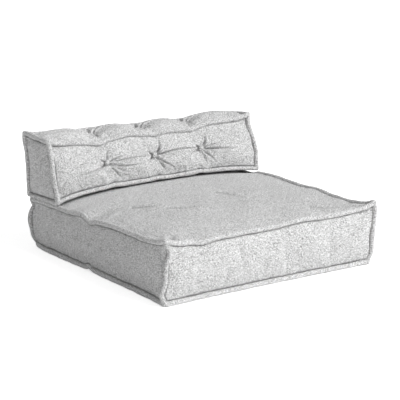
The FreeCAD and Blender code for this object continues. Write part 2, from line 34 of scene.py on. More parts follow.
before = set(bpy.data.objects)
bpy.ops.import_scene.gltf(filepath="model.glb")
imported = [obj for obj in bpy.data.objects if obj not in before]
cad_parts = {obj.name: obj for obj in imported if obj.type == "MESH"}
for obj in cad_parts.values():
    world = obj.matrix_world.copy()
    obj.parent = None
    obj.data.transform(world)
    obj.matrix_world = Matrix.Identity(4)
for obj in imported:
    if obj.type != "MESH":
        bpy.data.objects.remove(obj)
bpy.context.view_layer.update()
scene = bpy.context.scene

# Faces of the covers' grids along the width, the depth and the height
SEAT_GRID = (98, 98, 22)
BACK_GRID = (164, 36, 40)

# Rolled edges: steps along a side and up a corner, sides of the tube, its unevenness and smoothing,
# and directions that no loop or upright runs along
LOOP_STEPS = 180
UPRIGHT_STEPS = 36
ROLL_SIDES = 14
ROLL_UNEVENNESS = 0.16
ROLL_SMOOTHING = 5
LOOP_GUIDE = np.array([0.31, 0.22, 0.92])
UPRIGHT_GUIDE = np.array([0.8, 0.6, 0.0])

# Painted shade: darker cloth beside the seams and in the folds, fainter on the upper sides, where the groove
# is shallow
CREVICE_FROM = 0.0155
CREVICE_FULL = 0.009
CREVICE_FOLD = 0.012
UPPER_CREVICE = 0.3
UPPER_GROOVE = 0.25

# Zips: half widths of the slot and its edges, its depth, how far round it the cover is straight,
# and the room that it needs among the lines of the grid and for its pins
ZIP_SLOT = 0.0072
ZIP_EDGE = 0.0090
ZIP_FLOOR = 0.0055
ZIP_STRAIGHT = 0.030
ZIP_END = 0.985
ZIP_LINE_GAP = 0.02
ZIP_PIN_MARGIN = 0.0002

# Folds: points along the line, its reach in widths, and the height, place and width of the ridge beside it
FOLD_STEPS = 24
FOLD_REACH = 6
RIDGE_HEIGHT = 0.35
RIDGE_PLACE = 2.2
RIDGE_WIDTH = 1.4

# Cloth simulation
CLOTH_PRESSURE = 3.0
CLOTH_FRAMES = 18

# When a point belongs to a seam or to a side of the box, a place far off it, and almost nought
SEAM_PIN = 0.001
ON_FACE = 0.999
ELSEWHERE = 9
TINY = 1e-6


# Materials

# Tweed: features and threads per metre, tones beside the plain yarn's and of the painted shade, and the ends
# of the specks' ramp
SPECKS = 335
YARNS = 800
DRIFT = 9
WEAVE_THREADS = 430
DARK_YARN = 0.38
PALE_YARN = 1.4
PAINTED_SHADE_TONE = 0.36
SPECKS_FROM = 0.39
SPECKS_TO = 0.61

# Zips: threads of the tape's weave per metre, and the pitch of the coil's teeth
TAPE_THREADS = 700
COIL_PITCH = 0.0015


def grey(tone):
    return (tone, tone, tone)


def new_material(name, colour, roughness):
    """A material with its node tree and its shader."""
    material = bpy.data.materials.new(name)
    material.use_nodes = True
    shader = material.node_tree.nodes["Principled BSDF"]
    shader.inputs["Base Color"].default_value = (*colour, 1)
    shader.inputs["Roughness"].default_value = roughness
    return material, material.node_tree, shader


def object_place(tree):
    """Output with a point's place in the object's own coordinates."""
    return tree.nodes.new("ShaderNodeTexCoord").outputs["Object"]


def object_axes(tree):
    """Outputs with the three coordinates of that place."""
    separate = tree.nodes.new("ShaderNodeSeparateXYZ")
    tree.links.new(object_place(tree), separate.inputs["Vector"])
    return separate.outputs


def add_noise(tree, scale, detail=2.0, stretch=(1, 1, 1)):
    """Noise over the object's own coordinates, in features per metre."""
    mapping = tree.nodes.new("ShaderNodeMapping")
    mapping.inputs["Scale"].default_value = stretch
    tree.links.new(object_place(tree), mapping.inputs["Vector"])
    texture = tree.nodes.new("ShaderNodeTexNoise")
    texture.inputs["Scale"].default_value = scale
    texture.inputs["Detail"].default_value = detail
    tree.links.new(mapping.outputs["Vector"], texture.inputs["Vector"])
    return texture.outputs["Fac"]


def add_ramp(tree, value, stops):
    """Colour ramp over an output."""
    ramp = tree.nodes.new("ShaderNodeValToRGB")
    while len(ramp.color_ramp.elements) < len(stops):
        ramp.color_ramp.elements.new(0.5)
    for element, (place, colour) in zip(ramp.color_ramp.elements, stops):
        element.position = place
        element.color = (*colour, 1)
    tree.links.new(value, ramp.inputs["Fac"])
    return ramp.outputs["Color"]


def tint(tree, shader, value, stops):
    """Base colour from a ramp over an output."""
    tree.links.new(add_ramp(tree, value, stops), shader.inputs["Base Color"])


def multiply_colours(tree, first, second):
    """Product of two colour outputs."""
    mix = tree.nodes.new("ShaderNodeMix")
    mix.data_type = "RGBA"
    mix.blend_type = "MULTIPLY"
    mix.inputs["Factor"].default_value = 1.0
    tree.links.new(first, mix.inputs["A"])
    tree.links.new(second, mix.inputs["B"])
    return mix.outputs["Result"]


def add_bump(tree, shader, height, distance, strength=1.0):
    """Relief finer than the mesh, from a height output."""
    bump = tree.nodes.new("ShaderNodeBump")
    bump.inputs["Distance"].default_value = distance
    bump.inputs["Strength"].default_value = strength
    tree.links.new(height, bump.inputs["Height"])
    tree.links.new(bump.outputs["Normal"], shader.inputs["Normal"])


def add_value(tree, operation, first, second):
    """Arithmetic on two outputs, or on an output and a number."""
    node = tree.nodes.new("ShaderNodeMath")
    node.operation = operation
    for socket, value in zip(node.inputs, (first, second)):
        if isinstance(value, (int, float)):
            socket.default_value = value
        else:
            tree.links.new(value, socket)
    return node.outputs["Value"]


def weave_height(tree, threads):
    """Plain weave: crossing ripples along the three axes, so every face shows two of them."""
    waves = []
    for axis in object_axes(tree):
        turned = add_value(tree, "MULTIPLY", axis, threads * 2 * math.pi)
        waves.append(add_value(tree, "SINE", turned, 0))
    x, y, z = waves
    first, second, third = (add_value(tree, "MULTIPLY", *pair) for pair in ((x, y), (y, z), (x, z)))
    return add_value(tree, "ADD", add_value(tree, "ADD", first, second), third)


def fabric_material(name, tone):
    """Light grey tweed: pale and darker yarns in specks, a coarse weave, a soft sheen and painted shade in
    seams and folds.
    """
    material, tree, shader = new_material(name, grey(tone), 0.95)
    specks = add_noise(tree, SPECKS, 1.0)
    yarns = add_noise(tree, YARNS, 1.0, (1, 1, 2))
    drift = add_noise(tree, DRIFT)
    dark = grey(tone * DARK_YARN)
    pale = grey(min(tone * PALE_YARN, 1.0))
    colour = add_ramp(tree, specks, [(SPECKS_FROM, dark), (0.5, grey(tone)), (SPECKS_TO, pale)])
    fine = add_ramp(tree, yarns, [(0.35, grey(0.74)), (0.65, grey(1))])
    worn = add_ramp(tree, drift, [(0.35, grey(0.96)), (0.65, grey(1))])
    # Painted shade: darker cloth where the mesh marks a seam or a fold, where shade falls
    crevice = tree.nodes.new("ShaderNodeAttribute")
    crevice.attribute_name = "crevice"
    painted_shade = add_ramp(tree, crevice.outputs["Fac"], [(0.0, grey(1)), (1.0, grey(PAINTED_SHADE_TONE))])
    for layer in (fine, worn, painted_shade):
        colour = multiply_colours(tree, colour, layer)
    tree.links.new(colour, shader.inputs["Base Color"])
    shader.inputs["Sheen Weight"].default_value = 0.12
    shader.inputs["Sheen Roughness"].default_value = 0.6
    shader.inputs["Specular IOR Level"].default_value = 0.15
    weave = add_value(tree, "MULTIPLY", weave_height(tree, WEAVE_THREADS), 0.25)
    height = add_value(tree, "ADD", add_value(tree, "ADD", weave, specks), yarns)
    add_bump(tree, shader, height, 0.0005, 0.6)
    return material


def thread_material():
    """Twisted thread: grey yarn, mottled by its ply."""
    material, tree, shader = new_material("thread", grey(0.4), 0.8)
    ply = add_noise(tree, 700, stretch=(1, 1, 3))
    tint(tree, shader, ply, [(0.3, grey(0.3)), (0.7, grey(0.5))])
    add_bump(tree, shader, ply, 0.0004)
    return material


def tape_material():
    """Woven zip tape: a grainy grey band in a close weave."""
    material, tree, shader = new_material("zip_tape", grey(0.3), 0.85)
    grain = add_noise(tree, 900)
    tint(tree, shader, grain, [(0.3, grey(0.25)), (0.7, grey(0.36))])
    add_bump(tree, shader, weave_height(tree, TAPE_THREADS), 0.0003)
    return material


def coil_material():
    """Closed nylon coil: even teeth along the zip."""
    material, tree, shader = new_material("zip_coil", grey(0.34), 0.45)
    turned = add_value(tree, "MULTIPLY", object_axes(tree)["X"], 2 * math.pi / COIL_PITCH)
    teeth = add_value(tree, "SINE", turned, 0)
    lifted = add_value(tree, "MULTIPLY", add_value(tree, "ADD", teeth, 1), 0.5)
    tint(tree, shader, lifted, [(0.1, grey(0.16)), (0.8, grey(0.4))])
    add_bump(tree, shader, lifted, 0.0005)
    return material


def metal_material():
    """Lacquered zinc casting with fine handling marks."""
    material, tree, shader = new_material("zip_metal", (0.56, 0.56, 0.55), 0.3)
    marks = add_noise(tree, 600, 4.0, (1, 8, 8))
    rough = add_ramp(tree, marks, [(0.3, grey(0.22)), (0.7, grey(0.42))])
    tree.links.new(rough, shader.inputs["Roughness"])
    tint(tree, shader, marks, [(0.3, (0.5, 0.5, 0.49)), (0.7, (0.6, 0.6, 0.59))])
    shader.inputs["Metallic"].default_value = 1.0
    add_bump(tree, shader, marks, 0.0001)
    return material


def disc_material():
    """Moulded grey plastic with a fine satin grain."""
    material, tree, shader = new_material("anchor_plastic", grey(0.24), 0.5)
    grain = add_noise(tree, 1500)
    tint(tree, shader, grain, [(0.3, grey(0.22)), (0.7, grey(0.27))])
    add_bump(tree, shader, grain, 0.0001)
    return material


fabric = fabric_material("tweed", 0.74)
roll_fabric = fabric_material("tweed_rolled_edge", 0.75)


# Corners of the two cushions, read from the long rolled edges of the frame

roll_low, roll_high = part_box("seat_rear_left_roll")
ROLL_RADIUS = (roll_high.x - roll_low.x) / 2
ROLL_TIP = 0.001


def node_points(name):
    return np.array([tuple(vertex.co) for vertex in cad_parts[name].data.vertices])


def roll_ends(name):
    """Seam corners at the left and right of a long rolled edge, which runs past them by its own radius."""
    points = node_points(name)
    ends = []
    for side in (-1, 1):
        reach = points[:, 0] * side
        tip = points[reach > reach.max() - ROLL_TIP].mean(axis=0)
        ends.append(Vector(tip) - Vector((side * ROLL_RADIUS, 0, 0)))
    return ends


def cushion_corners(cushion):
    """The eight seam corners as an array by left-right, front-rear and bottom-top."""
    corners = np.zeros((2, 2, 2, 3))
    for k, height in enumerate(("bottom", "top")):
        for j, end in enumerate(("front", "rear")):
            corners[:, j, k] = roll_ends(f"{cushion}_{height}_{end}_roll")
    return corners


def zip_level(cushion, upright, foot):
    """Place of the zip up the rear of a cushion, from -1 at the bottom seam to 1 at the top seam."""
    low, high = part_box(f"{cushion}_zip_coil")
    middle = np.array((low + high) / 2) - foot
    return 2 * middle @ upright / (upright @ upright) - 1


class Cushion:
    """A box of cloth over eight corners: a closed grid whose points know their place on the box."""

    def __init__(self, name, corners, counts):
        self.name = name
        self.corners = corners
        upright = corners[0, 1, 1] - corners[0, 1, 0]
        self.rear_height = np.linalg.norm(upright)
        self.zip_level = zip_level(name, upright, corners[0, 1, 0])
        self.lines = [np.linspace(-1, 1, count + 1) for count in counts]
        self.lines[2] = self.with_zip_lines(self.lines[2])
        beside = (corners[1, 0, 0], corners[0, 1, 0], corners[0, 0, 1])
        self.sizes = np.array([np.linalg.norm(corner - corners[0, 0, 0]) for corner in beside])
        self.places, self.faces = self.box_grid()
        self.axes = self.box_axes()

    def with_zip_lines(self, lines):
        """Lines up the height, with the four edges of the zip's slot among them."""
        edges = np.array([-ZIP_EDGE, -ZIP_SLOT, ZIP_SLOT, ZIP_EDGE])
        slot = self.zip_level + 2 * edges / self.rear_height
        regular = [line for line in lines if np.abs(slot - line).min() > ZIP_LINE_GAP]
        return np.sort(np.concatenate([regular, slot]))

    def box_grid(self):
        """Grid points on the six sides of the box, shared along the seams, and its four-sided faces."""
        numbers = {}
        faces = []
        counts = [len(line) for line in self.lines]

        def number(key):
            return numbers.setdefault(key, len(numbers))

        for axis in range(3):
            first, second = (axis + 1) % 3, (axis + 2) % 3
            spans = product(range(counts[first] - 1), range(counts[second] - 1))
            for end, (i, j) in product((0, counts[axis] - 1), spans):
                ring = []
                for di, dj in ((0, 0), (1, 0), (1, 1), (0, 1)):
                    key = [0, 0, 0]
                    key[axis] = end
                    key[first] = i + di
                    key[second] = j + dj
                    ring.append(number(tuple(key)))
                faces.append(ring if end else ring[::-1])
        keys = np.array(sorted(numbers, key=numbers.get))
        places = np.stack([self.lines[axis][keys[:, axis]] for axis in range(3)], axis=1)
        return places, faces

    def box_axes(self):
        """Unit directions along the width, out of the rear and up the rear seams."""
        corners = self.corners
        along = corners[1, 1, 0] - corners[0, 1, 0]
        upward = corners[0, 1, 1] - corners[0, 1, 0]
        along = along / np.linalg.norm(along)
        upward = upward / np.linalg.norm(upward)
        return np.array([along, np.cross(upward, along), upward])

    def flat(self, places):
        """Places on the box as points in the frame, straight between the corners."""
        share = (places + 1) / 2
        points = np.zeros(places.shape)
        for corner in product((0, 1), repeat=3):
            weight = np.ones(len(places))
            for axis, high in enumerate(corner):
                weight = weight * (share[:, axis] if high else 1 - share[:, axis])
            points += weight[:, None] * self.corners[corner]
        return points

    def seam_distance(self, places):
        """Distance along the cover to the nearest seam."""
        gaps = np.sort((1 - np.abs(places)) * self.sizes / 2, axis=1)
        return gaps[:, 1]

    def from_zip(self, places):
        """Height above the middle of the zip, up the rear of the cushion."""
        return (places[:, 2] - self.zip_level) * self.rear_height / 2

    def rear_height_out(self, places, bulge):
        """How far the rear stands out: two full strips of cover with the slot of the zip between them."""
        level = places[:, 2] - self.zip_level
        share = np.where(level > 0, level / (1 - self.zip_level), -level / (1 + self.zip_level))
        strips = 4 * bulge * share * (1 - share) * (1 - places[:, 0] ** 8)
        open_slot = np.abs(self.from_zip(places)) < (ZIP_SLOT + ZIP_EDGE) / 2
        recessed = open_slot & (np.abs(places[:, 0]) < ZIP_END)
        return np.where(recessed, -ZIP_FLOOR, strips) * on_side(places, 1, 1)

    def straight_at_zip(self, points, places, bulge):
        """Keep the cover straight beside the zip, whatever its seams do."""
        away = np.abs(self.from_zip(places))
        weight = np.clip((ZIP_STRAIGHT - away) / (ZIP_STRAIGHT - ZIP_EDGE), 0, 1)
        weight = weight * on_side(places, 1, 1) * (np.abs(places[:, 0]) < ZIP_END)
        straight = self.flat(places) + self.rear_height_out(places, bulge)[:, None] * self.axes[1]
        return points + weight[:, None] * (straight - points)

    def zip_pins(self, places):
        """The cover is held along both sides of the zip."""
        held = np.abs(self.from_zip(places)) < ZIP_EDGE + ZIP_PIN_MARGIN
        return np.where(held, on_side(places, 1, 1), 0.0)

    def drawn_in(self, places, depth, groove, spread):
        """Shift of the cover into the cushion beside its seams, where it goes in under the rolled edge."""
        shift = np.zeros(places.shape)
        beside_seam = np.exp(-self.seam_distance(places) / groove)
        for axis in range(3):
            for side in (-1, 1):
                away = (1 - places[:, axis] * side) * self.sizes[axis] / 2
                share = np.where(away < TINY, beside_seam, np.exp(-away / spread))
                upper = axis == 2 and side == 1
                deep = depth * (UPPER_GROOVE if upper else 1)
                shift -= (deep * side * share)[:, None] * self.axes[axis]
        return shift


def on_side(places, axis, side):
    """One for the places on a side of the box, and nought for the rest."""
    return (np.abs(places[:, axis] - side) < TINY).astype(float)


def hump(distance, width):
    """A smooth rise to one where the distance is nought."""
    return np.exp(-(distance / width) ** 2)


def ripple(points, size, height, seed):
    """Smooth uneven height over a set of points, the same on every run."""
    offset = Vector((seed * 17.3, seed * 5.1, seed * 11.7))
    return np.array([height * noise.noise(Vector(point) / size + offset) for point in points])


def mesh_piece(name, points, faces, material):
    """A smooth-shaded object of the scene."""
    mesh = bpy.data.meshes.new(name)
    mesh.from_pydata([tuple(point) for point in points], [], faces)
    mesh.polygons.foreach_set("use_smooth", [True] * len(mesh.polygons))
    mesh.materials.append(material)
    mesh.update()
    piece = bpy.data.objects.new(name, mesh)
    scene.collection.objects.link(piece)
    return piece


def read_points(mesh):
    flat = np.zeros(len(mesh.vertices) * 3)
    mesh.vertices.foreach_get("co", flat)
    return flat.reshape(-1, 3)


def write_points(piece, points):
    piece.data.vertices.foreach_set("co", points.astype(np.float32).ravel())
    piece.data.update()


def divide_once(piece, places):
    """Apply one subdivision, and give the places on the box of all the new points."""
    kept = piece.data.attributes.new("place", "FLOAT_VECTOR", "POINT")
    kept.data.foreach_set("vector", places.astype(np.float32).ravel())
    smooth = piece.modifiers.new("smooth", "SUBSURF")
    smooth.levels = 1
    evaluated = piece.evaluated_get(bpy.context.evaluated_depsgraph_get())
    divided = bpy.data.meshes.new_from_object(evaluated)
    piece.modifiers.remove(smooth)
    piece.data = divided
    flat = np.zeros(len(divided.vertices) * 3, np.float32)
    divided.attributes["place"].data.foreach_get("vector", flat)
    divided.attributes.remove(divided.attributes["place"])
    return flat.reshape(-1, 3).astype(float)


def crease_height(x, y, start, bend, end, depth, width):
    """A fold along a bowed line on a face: a sharp valley with a soft ridge beside it, fading to its end."""
    shares = np.linspace(0, 1, FOLD_STEPS + 1)[:, None]
    line = (1 - shares) ** 2 * np.array(start) + shares ** 2 * np.array(end)
    line += 2 * shares * (1 - shares) * np.array(bend)
    height = np.zeros(len(x))
    middle = line[FOLD_STEPS // 2]
    near = np.hypot(x - middle[0], y - middle[1]) < np.ptp(line, axis=0).max() + FOLD_REACH * width
    away = np.hypot(x[near, None] - line[:, 0], y[near, None] - line[:, 1])
    nearest = away.argmin(axis=1)
    fade = 1 - (nearest / FOLD_STEPS) ** 2
    distance = away.min(axis=1)
    valley = hump(distance, width)
    ridge = hump(distance - RIDGE_PLACE * width, RIDGE_WIDTH * width)
    height[near] = depth * fade * (RIDGE_HEIGHT * ridge - valley)
    return height


def sculpt(piece, heights):
    """Move every point along its normal."""
    points = read_points(piece.data)
    normals = np.zeros(len(points) * 3, np.float32)
    piece.data.vertices.foreach_get("normal", normals)
    write_points(piece, points + heights[:, None] * normals.reshape(-1, 3))


def shade_crevices(piece, cushion, places, heights):
    """Keep how deep each point lies in a seam or a fold, for the painted shade that darkens the cloth there.
    """
    distance = cushion.seam_distance(places)
    beside = np.clip((CREVICE_FROM - distance) / (CREVICE_FROM - CREVICE_FULL), 0, 1)
    beside = np.where(places[:, 2] > ON_FACE, UPPER_CREVICE * beside, beside)
    folded = np.clip(-heights / CREVICE_FOLD, 0, 1)
    kept = piece.data.attributes.new("crevice", "FLOAT", "POINT")
    kept.data.foreach_set("value", np.maximum(beside, folded).astype(np.float32))


# Cloth: the cover is a little larger than what it is pinned to, and swells under pressure


def swell(piece, pinned, slack, most):
    """Run the cover as pinned cloth, and keep the result within a distance of where each point began."""
    group = piece.vertex_groups.new(name="sewn")
    for weight in np.unique(pinned[pinned > 0]):
        group.add([int(n) for n in np.flatnonzero(pinned == weight)], float(weight), "REPLACE")
    cloth = piece.modifiers.new("cloth", "CLOTH")
    cloth.point_cache.frame_start = 1
    cloth.point_cache.frame_end = CLOTH_FRAMES
    settings = cloth.settings
    settings.quality = 6
    settings.mass = 0.4
    settings.tension_stiffness = 40
    settings.compression_stiffness = 40
    settings.shear_stiffness = 12
    settings.bending_stiffness = 0.8
    settings.air_damping = 4
    settings.vertex_group_mass = group.name
    settings.shrink_min = -slack
    settings.use_pressure = True
    settings.uniform_pressure_force = CLOTH_PRESSURE
    settings.effector_weights.gravity = 0
    start = read_points(piece.data)
    for number in range(1, CLOTH_FRAMES + 1):
        scene.frame_set(number)
    swollen = read_points(piece.evaluated_get(bpy.context.evaluated_depsgraph_get()).data)
    piece.modifiers.remove(cloth)
    piece.vertex_groups.remove(group)
    scene.frame_set(1)
    move = swollen - start
    length = np.linalg.norm(move, axis=1, keepdims=True)
    move *= np.minimum(1, np.reshape(most, (-1, 1)) / np.maximum(length, TINY))
    return start + move


# Seat cushion

# Its cloth: slack, and most swell on the top, on the sides and at the rear of either cushion
SEAT_SLACK = 0.014
SEAT_LIFT = 0.004
SEAT_SIDE_LIFT = 0.016
REAR_LIFT = 0.003

# Its seams: sag and draw between the corners, and the ears at the front corners
SEAT_FRONT_SAG = 0.008
SEAT_SIDE_SAG = 0.004
SEAT_DRAW = 0.009
SEAT_EAR = 0.021
EAR_REACH = 0.030
EAR_SPREAD = 0.008
SEAT_SEAM_FADE = 0.05

# Its sides: how far they stand out, and the width of a fold
SEAT_CROWN = 0.040
SEAT_BULGE = 0.012
SEAT_REAR_BULGE = 0.006
SEAT_FOLD_WIDTH = 0.012

# Seams of both cushions: the groove beside the rolled edge, and the height of their waves
SEAM_GROOVE_DEPTH = 0.0045
SEAM_GROOVE_WIDTH = 0.006
SEAM_GROOVE_SPREAD = 0.030
SEAM_WAVE = 0.0035

# The underside on the floor, and where rising seams go flat under the back cushion
FLOOR_FADE = 0.02
FLOOR_GAP = 0.001
PRESSED_FROM = 0.257
PRESSED_AT = 0.296

# Where the seams rise or dip in the photo: level, edge, place along it, rise, half width
SEAT_MARKS = [
    ("top", "front", -0.334, -0.011, 0.045),
    ("top", "front", 0.131, 0.008, 0.090),
    ("top", "left", 0.040, -0.012, 0.028),
    ("top", "left", 0.120, 0.008, 0.050),
    ("top", "left", -0.170, 0.004, 0.080),
    ("top", "right", 0.150, 0.019, 0.200),
    ("top", "right", -0.145, 0.009, 0.100),
    ("bottom", "left", 0.055, 0.011, 0.020),
]

# How the four uprights leave the straight: corner, place up it, shift to the right and the rear, half width
SEAT_SWAYS = [
    ((-1, -1), 0.66, 0.017, -0.005, 0.24),
    ((-1, -1), -0.70, -0.016, 0.005, 0.28),
    ((1, -1), 0.75, 0.009, 0, 0.30),
    ((1, -1), -1.00, -0.018, 0, 0.28),
    ((-1, 1), 0.70, 0.012, 0, 0.16),
    ((-1, 1), 0.10, -0.011, 0, 0.40),
    ((-1, 1), -1.00, 0.024, 0, 0.30),
    ((1, 1), 0.00, 0.008, 0, 0.40),
]

# Where the seat top stands a little fuller or lower: place on the plan, rise and half width
SEAT_SWELLS = [
    ((-0.33, 0.12), 0.005, 0.100),
    ((-0.26, -0.06), 0.007, 0.055),
    ((-0.13, -0.22), 0.008, 0.050),
    ((-0.02, -0.05), 0.005, 0.060),
    ((0.06, -0.28), 0.006, 0.055),
    ((0.16, -0.12), 0.008, 0.055),
    ((0.30, -0.28), 0.006, 0.060),
    ((0.33, 0.05), 0.005, 0.080),
    ((-0.36, -0.33), 0.006, 0.060),
]

# Faint folds of the seat top: start, bend and end on the plan, and depth
SEAT_FOLDS = [
    ((-0.24, -0.13), (-0.17, -0.20), (-0.09, -0.21), 0.0054),
    ((-0.33, -0.02), (-0.29, -0.07), (-0.24, -0.11), 0.0054),
    ((0.05, -0.05), (0.08, -0.13), (0.09, -0.21), 0.0042),
    ((0.04, -0.21), (0.08, -0.25), (0.16, -0.27), 0.0042),
    ((0.26, -0.39), (0.30, -0.43), (0.37, -0.43), 0.0054),
    ((-0.47, -0.47), (-0.44, -0.43), (-0.37, -0.40), 0.0072),
    ((0.47, -0.47), (0.43, -0.45), (0.38, -0.42), 0.0072),
]

seat = Cushion("seat", cushion_corners("seat"), SEAT_GRID)


def mark_shift(places, marks, sizes):
    """Rise of the seams at the marks, fading away from their edge over the cover."""
    right, rear, up = places.T
    ways = {
        "front": (right * sizes[0], -rear),
        "left": (rear * sizes[1], -right),
        "right": (rear * sizes[1], right),
    }
    rise = np.zeros(len(places))
    for level, edge, place, height, width in marks:
        along, beside = ways[edge]
        upward = up if level == "top" else -up
        fade = np.maximum(0, beside) ** 6 * np.maximum(0, (1 + upward) / 2) ** 2
        rise += height * hump(along / 2 - place, width) * fade
    pressed = np.clip((PRESSED_AT - rear * sizes[1] / 2) / (PRESSED_AT - PRESSED_FROM), 0, 1)
    return np.where(rise > 0, rise * pressed, rise)


def sway_shift(places, sways):
    """Sideways shift of the corners at some heights, fading away from each corner."""
    right, rear, up = places.T
    shift = np.zeros(places.shape)
    for (side, end), height, rightward, rearward, width in sways:
        near = np.maximum(0, right * side) ** 12 * np.maximum(0, rear * end) ** 12
        weight = near * hump(up - height, width)
        shift[:, 0] += rightward * weight
        shift[:, 1] += rearward * weight
    return shift


def seat_seam_shift(places):
    """How the seams leave the straight box: drawn in and sagging between the corners, with raised ears."""
    right, rear, up = places.T
    shift = sway_shift(places, SEAT_SWAYS)
    upper = (up + 1) / 2
    front = np.maximum(0, -rear)
    shift[:, 1] += SEAT_DRAW * (1 - right ** 2) * front ** 2
    shift[:, 0] -= SEAT_DRAW * (1 - rear ** 2) * right * np.abs(right)
    sag = SEAT_FRONT_SAG * (1 - right ** 2) * front ** 2 + SEAT_SIDE_SAG * (1 - rear ** 2) * right ** 2
    shift[:, 2] -= sag * upper
    reach = np.hypot((1 - np.abs(right)) * seat.sizes[0] / 2, (1 + rear) * seat.sizes[1] / 2)
    ear = np.exp(-reach / EAR_REACH) * upper ** 4
    shift[:, 2] += SEAT_EAR * ear
    shift[:, 0] += EAR_SPREAD * ear * np.sign(right)
    shift[:, 1] -= EAR_SPREAD / 2 * ear
    shift[:, 2] += mark_shift(places, SEAT_MARKS, seat.sizes)
    edge = np.exp(-seat.seam_distance(places) / SEAT_SEAM_FADE)
    flat = seat.flat(places)
    shift[:, 2] += ripple(flat, 0.09, SEAM_WAVE, 1) * edge * upper
    shift[:, 0] += ripple(flat, 0.07, SEAM_WAVE, 2) * edge
    shift[:, 1] += ripple(flat, 0.07, SEAM_WAVE, 4) * edge
    return shift


def seat_belly(places):
    """Outward swell of the six sides between their seams."""
    right, rear, up = places.T
    shift = np.zeros(places.shape)
    full = np.sqrt(np.maximum(0, 1 - up ** 2))
    shift[:, 1] -= SEAT_BULGE * full * (1 - right ** 4) * on_side(places, 1, -1)
    shift[:, 1] += seat.rear_height_out(places, SEAT_REAR_BULGE)
    ends = on_side(places, 0, 1) + on_side(places, 0, -1)
    shift[:, 0] += SEAT_BULGE * full * (1 - rear ** 4) * right * ends
    top = on_side(places, 2, 1)
    shift[:, 2] += SEAT_CROWN * (1 - np.abs(right) ** 3) * (1 - np.abs(rear) ** 3) * top
    return shift


def rest_on_floor(points, places):
    """The underside lies flat on the floor, up to its seams."""
    under = on_side(places, 2, -1)
    share = 1 - np.exp(-seat.seam_distance(places) / FLOOR_FADE)
    target = points[:, 2] * (1 - share) + FLOOR_GAP * share
    points[:, 2] = np.where(under > 0, target, points[:, 2])
    return points


def seat_cover_nodes():
    """Names of the CAD nodes that the seat's cover stands for."""
    sides = ("top", "bottom", "front", "left", "right", "rear_upper", "rear_lower")
    layers = ("top", "front", "left", "right", "rear")
    panels = [f"seat_{side}_panel" for side in sides]
    return panels + [f"seat_{layer}_wadding" for layer in layers] + ["seat_foam_core"]


def ride_padded(piece, body):
    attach(piece, body)


def seat_top_heights(places):
    """Heights of the folds and of the soft swells of the seat top."""
    top = places[:, 2] > ON_FACE
    x = np.where(top, places[:, 0] * seat.sizes[0] / 2, ELSEWHERE)
    y = places[:, 1] * seat.sizes[1] / 2
    folds = np.zeros(len(places))
    for start, bend, end, depth in SEAT_FOLDS:
        folds += crease_height(x, y, start, bend, end, depth, SEAT_FOLD_WIDTH)
    swells = np.zeros(len(places))
    for (middle_x, middle_y), rise, width in SEAT_SWELLS:
        swells += rise * hump(np.hypot(x - middle_x, y - middle_y), width)
    return folds, swells


def make_seat_cover():
    """The seat's cover: shaped, swollen as cloth, divided, folded, and darkened in its seams and folds with
    painted shade.
    """
    places = seat.places
    points = seat.flat(places) + seat_seam_shift(places) + seat_belly(places)
    points += seat.drawn_in(places, SEAM_GROOVE_DEPTH, SEAM_GROOVE_WIDTH, SEAM_GROOVE_SPREAD)
    points = seat.straight_at_zip(points, places, SEAT_REAR_BULGE)
    points = rest_on_floor(points, places)
    cover = mesh_piece("seat_cover", points, seat.faces, fabric)
    pinned = np.where(seat.seam_distance(places) < SEAM_PIN, 1.0, 0.0)
    pinned = np.maximum(pinned, on_side(places, 2, -1))
    pinned = np.maximum(pinned, seat.zip_pins(places))
    most = np.where(on_side(places, 2, 1) > 0, SEAT_LIFT, SEAT_SIDE_LIFT)
    most = np.where(on_side(places, 1, 1) > 0, REAR_LIFT, most)
    write_points(cover, swell(cover, pinned, SEAT_SLACK, most))
    places = divide_once(cover, places)
    folds, swells = seat_top_heights(places)
    sculpt(cover, folds + swells)
    # Painted shade in the seams and folds of the seat's cover
    shade_crevices(cover, seat, places, folds)
    ride_padded(cover, "seat")
    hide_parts(*seat_cover_nodes())


# Rolled edges


def loop_places(height, steps):
    """Places round the top or the bottom of a box, from the front left corner and back to it."""
    along = np.linspace(-1, 1, steps, endpoint=False)
    ones = np.ones(steps)
    sides = [(along, -ones), (ones, along), (-along, ones), (-ones, -along)]
    return np.concatenate([np.stack([x, y, ones * height], axis=1) for x, y in sides])


def smooth_loop(points, passes):
    """Round off the corners of a closed line."""
    for _ in range(passes):
        points = (np.roll(points, 1, axis=0) + 2 * points + np.roll(points, -1, axis=0)) / 4
    return points


def tube_faces(count, closed):
    """Four-sided faces between the rings of a tube, and its two ends if it is open."""
    sides = ROLL_SIDES
    faces = []
    spans = count if closed else count - 1
    for i in range(spans):
        following = (i + 1) % count
        for j in range(sides):
            turn = (j + 1) % sides
            faces.append((i * sides + j, i * sides + turn, following * sides + turn, following * sides + j))
    if not closed:
        faces.append(tuple(range(sides))[::-1])
        faces.append(tuple((count - 1) * sides + j for j in range(sides)))
    return faces


def tube(points, closed, radius):
    """A round tube of cloth along points, a little uneven."""
    if closed:
        tangents = np.roll(points, -1, axis=0) - np.roll(points, 1, axis=0)
    else:
        tangents = np.gradient(points, axis=0)
    tangents /= np.linalg.norm(tangents, axis=1, keepdims=True)
    across = np.cross(tangents, LOOP_GUIDE if closed else UPRIGHT_GUIDE)
    across /= np.linalg.norm(across, axis=1, keepdims=True)
    upward = np.cross(across, tangents)
    girth = radius * (1 + ripple(points, 0.035, ROLL_UNEVENNESS, 3))
    rings = []
    for turn in np.linspace(0, 2 * math.pi, ROLL_SIDES, endpoint=False):
        rings.append(points + girth[:, None] * (math.cos(turn) * across + math.sin(turn) * upward))
    vertices = np.stack(rings, axis=1).reshape(-1, 3)
    return vertices, tube_faces(len(points), closed)


